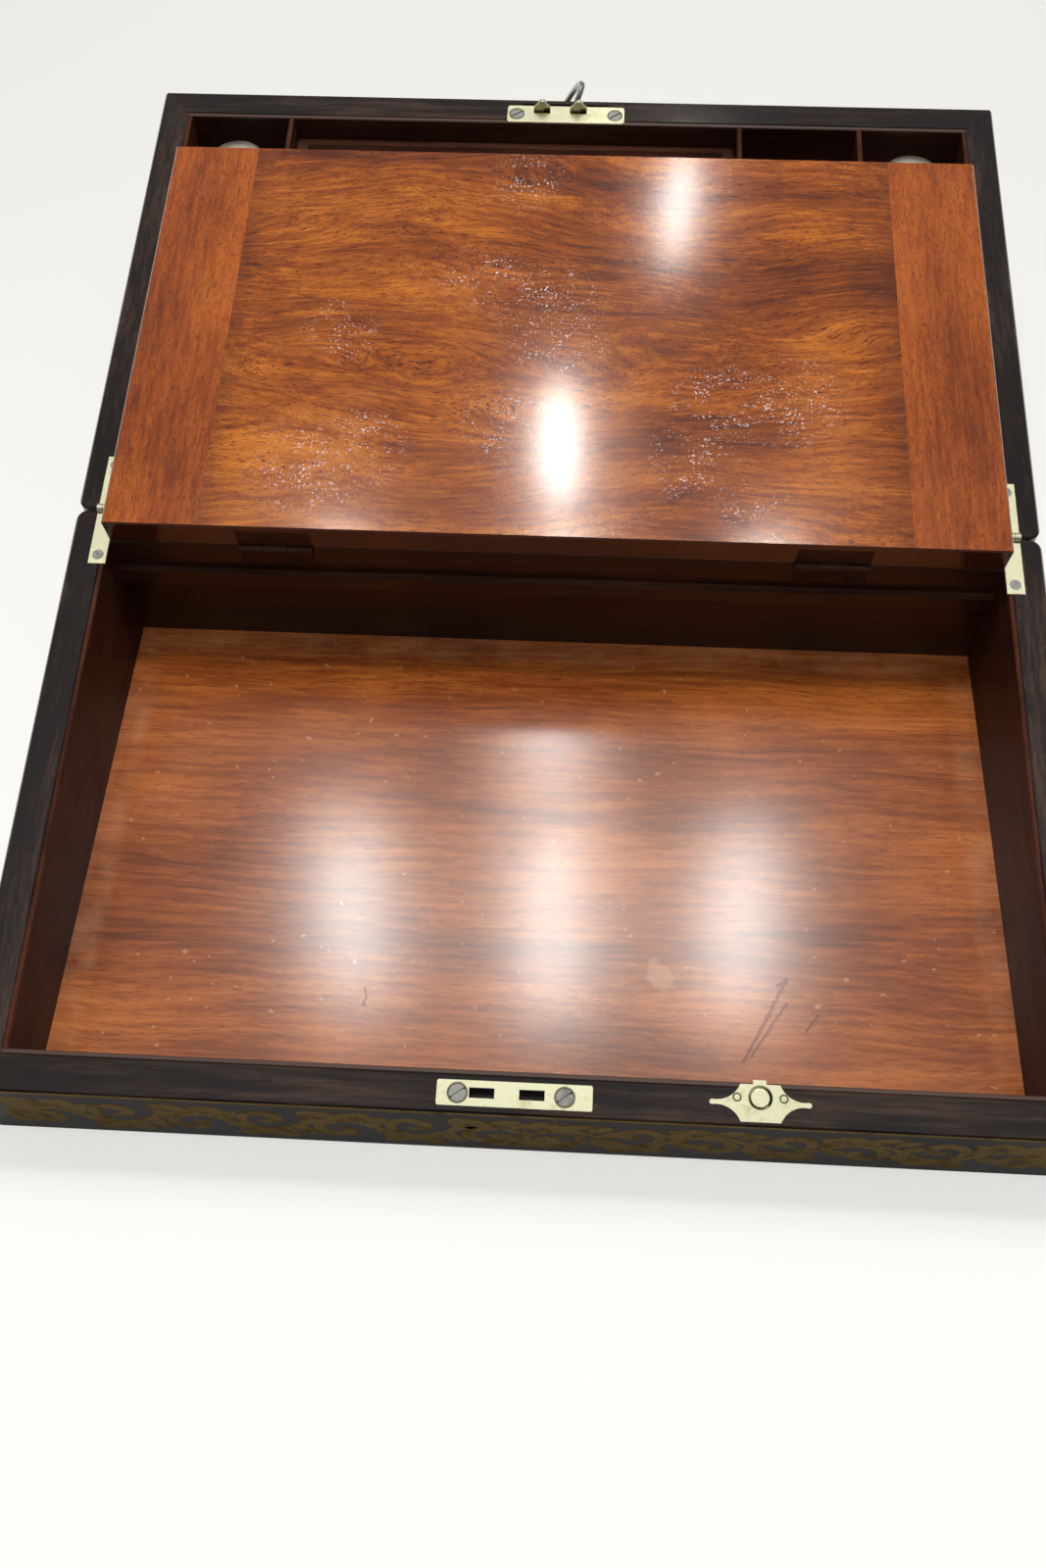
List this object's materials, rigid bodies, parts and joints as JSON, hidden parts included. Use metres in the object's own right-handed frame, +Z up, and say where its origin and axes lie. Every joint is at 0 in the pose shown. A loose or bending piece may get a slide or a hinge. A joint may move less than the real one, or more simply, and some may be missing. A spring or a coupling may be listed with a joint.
{
  "type": "writing slope",
  "caption": "Antique portable writing slope, lid laid open towards the user, near writing flap folded back over the far one, with box lock and key, pen tray and inkwells.",
  "frame": {"origin": "centre of the base's underside, on the surface it stands on", "axes": "+X along the hinge line to the user's right, +Y away from the user, +Z up"},
  "size_m": [0.42, 0.536, 0.1131],
  "materials": {
    "ebonised": "near-black ebonised and french polished wood",
    "mahogany": "polished red-brown mahogany",
    "lining": "dark red-brown lining boards",
    "brass": "aged lacquered brass",
    "steel": "worn grey steel",
    "leather": "dark green writing leather",
    "glass": "clear cut glass"
  },
  "bodies": {
    "base": {"base_far_wall": "ebonised", "base_hinge_wall": "ebonised", "base_left_wall": "ebonised", "base_right_wall": "ebonised", "base_bottom": "mahogany", "base_side_linings": "lining", "base_far_lining": "lining", "base_hinge_lining": "lining", "far_flap_bearers": "mahogany", "long_partition": "mahogany", "left_well_divider": "mahogany", "tray_divider": "mahogany", "right_well_divider": "mahogany", "pen_deck": "mahogany", "pen_tray_bearers": "mahogany", "lock_case": "brass", "lock_plate": "brass", "lock_screws": "steel", "escutcheon": "brass", "base_hinge_leaves": "brass", "base_hinge_screws": "steel", "box_hinge_pins": "brass", "far_flap_panel": "mahogany", "far_flap_cleats": "mahogany", "far_flap_leather": "leather"},
    "lid": {"lid_near_wall": "ebonised", "lid_hinge_wall": "ebonised", "lid_left_wall": "ebonised", "lid_right_wall": "ebonised", "lid_panel": "mahogany", "lid_side_linings": "lining", "lid_near_lining": "lining", "lid_hinge_lining": "lining", "near_flap_bearers": "mahogany", "lid_hinge_leaves": "brass", "lid_hinge_screws": "steel", "strike_plate": "brass", "strike_screws": "steel", "catch_plate": "brass", "catch_pins": "brass", "catch_spring": "steel", "flap_butt_lid_leaves": "brass", "lid_edging": "brass"},
    "flap_pins": {"flap_hinge_pins": "steel"},
    "near_flap": {"near_flap_panel": "mahogany", "near_flap_cleats": "mahogany", "near_flap_leather": "leather", "flap_butt_flap_leaves": "brass"},
    "catch_button": {"catch_button": "brass"},
    "catch_latch": {"catch_latch": "brass"},
    "key": {"key": "steel"},
    "lock_bolts": {"lock_bolts": "brass"},
    "pen_tray": {"pen_tray": "mahogany"},
    "left_inkwell": {"left_inkwell_glass": "glass", "left_inkwell_collar": "brass"},
    "left_cap": {"left_inkwell_cap": "brass"},
    "right_inkwell": {"right_inkwell_glass": "glass", "right_inkwell_collar": "brass"},
    "right_cap": {"right_inkwell_cap": "brass"}
  },
  "joints": [
    {"name": "lid_hinge", "type": "hinge", "parent": "base", "child": "lid", "pos_m": [0, -0.127, 0.076], "axis": [-1, 0, 0], "range_deg": [0, 180]},
    {"name": "flap_carrier", "type": "hinge", "parent": "lid", "child": "flap_pins", "pos_m": [0, -0.14445, 0.07321], "axis": [-1, 0, 0], "range_deg": [-180, 0]},
    {"name": "near_flap_fold", "type": "hinge", "parent": "flap_pins", "child": "near_flap", "pos_m": [0, -0.14445, 0.07321], "axis": [-1, 0, 0], "range_deg": [-180, 0]},
    {"name": "catch_press", "type": "slide", "parent": "lid", "child": "catch_button", "axis": [0, 0.1132, -0.9936], "range_m": [0, 0.0025], "stiffness_N_per_m": 150},
    {"name": "latch_slide", "type": "slide", "parent": "lid", "child": "catch_latch", "axis": [0, -0.9936, -0.1132], "range_m": [0, 0.0012]},
    {"name": "key_turn", "type": "hinge", "parent": "base", "child": "key", "pos_m": [-0.004, 0.127, 0.08694], "axis": [0, 1, 0], "range_deg": [0, 180]},
    {"name": "bolt_slide", "type": "slide", "parent": "base", "child": "lock_bolts", "axis": [1, 0, 0], "range_m": [0, 0.003]},
    {"name": "pen_tray_lift", "type": "slide", "parent": "base", "child": "pen_tray", "axis": [0, 0, 1], "range_m": [0, 0.006]},
    {"name": "left_inkwell_lift", "type": "slide", "parent": "base", "child": "left_inkwell", "axis": [0, 0, -1], "range_m": [-0.01, 0]},
    {"name": "right_inkwell_lift", "type": "slide", "parent": "base", "child": "right_inkwell", "axis": [0, 0, -1], "range_m": [-0.01, 0]},
    {"name": "left_cap_turn", "type": "hinge", "parent": "left_inkwell", "child": "left_cap", "pos_m": [-0.1691, 0.088, 0.097], "axis": [0, 0, 1], "range_deg": [0, 540]},
    {"name": "right_cap_turn", "type": "hinge", "parent": "right_inkwell", "child": "right_cap", "pos_m": [0.1691, 0.088, 0.097], "axis": [0, 0, 1], "range_deg": [0, 540]}
  ],
  "couplings": [
    {"joint": "flap_carrier", "follows": "lid_hinge", "ratio": -1},
    {"joint": "latch_slide", "follows": "catch_press", "ratio": 0.48},
    {"joint": "bolt_slide", "follows": "key_turn", "m_per_rad": 0.00095493}
  ]
}
